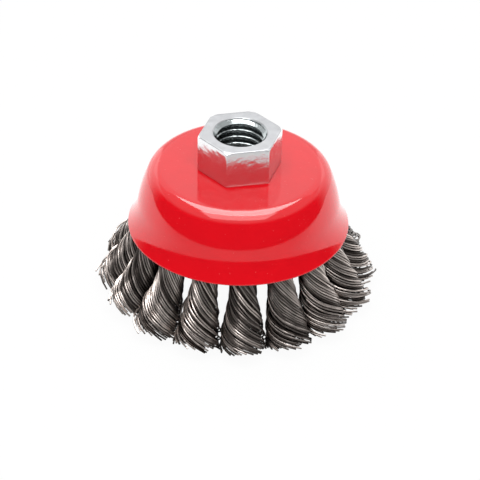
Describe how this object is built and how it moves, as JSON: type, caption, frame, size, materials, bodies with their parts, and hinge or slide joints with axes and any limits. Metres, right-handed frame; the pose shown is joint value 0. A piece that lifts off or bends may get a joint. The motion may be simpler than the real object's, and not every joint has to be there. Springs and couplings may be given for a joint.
{
  "type": "wire cup brush",
  "caption": "Cup-shaped rotary brush: drawn steel cup, threaded hexagon nut and a flared ring of twisted steel wire knots.",
  "frame": {"origin": "on the spindle axis, level with the lowest wire ends that the brush stands on", "axes": "+Z along the spindle axis, from the wire ends to the nut's top; +X square to one pair of the nut's flats"},
  "size_m": [0.0838, 0.0838, 0.0554],
  "materials": {
    "red_paint": "glossy red enamel",
    "zinc_plate": "bright zinc plating on turned steel",
    "plain_steel": "bare pressed steel",
    "wire_steel": "hard drawn carbon steel wire, dark grey"
  },
  "bodies": {
    "root": {"cup": "red_paint", "arbor_nut": "zinc_plate", "knot_plate": "plain_steel", "knot_01": "wire_steel", "knot_02": "wire_steel", "knot_03": "wire_steel", "knot_04": "wire_steel", "knot_05": "wire_steel", "knot_06": "wire_steel", "knot_07": "wire_steel", "knot_08": "wire_steel", "knot_09": "wire_steel", "knot_10": "wire_steel", "knot_11": "wire_steel", "knot_12": "wire_steel", "knot_13": "wire_steel", "knot_14": "wire_steel", "knot_15": "wire_steel", "knot_16": "wire_steel"}
  },
  "joints": []
}
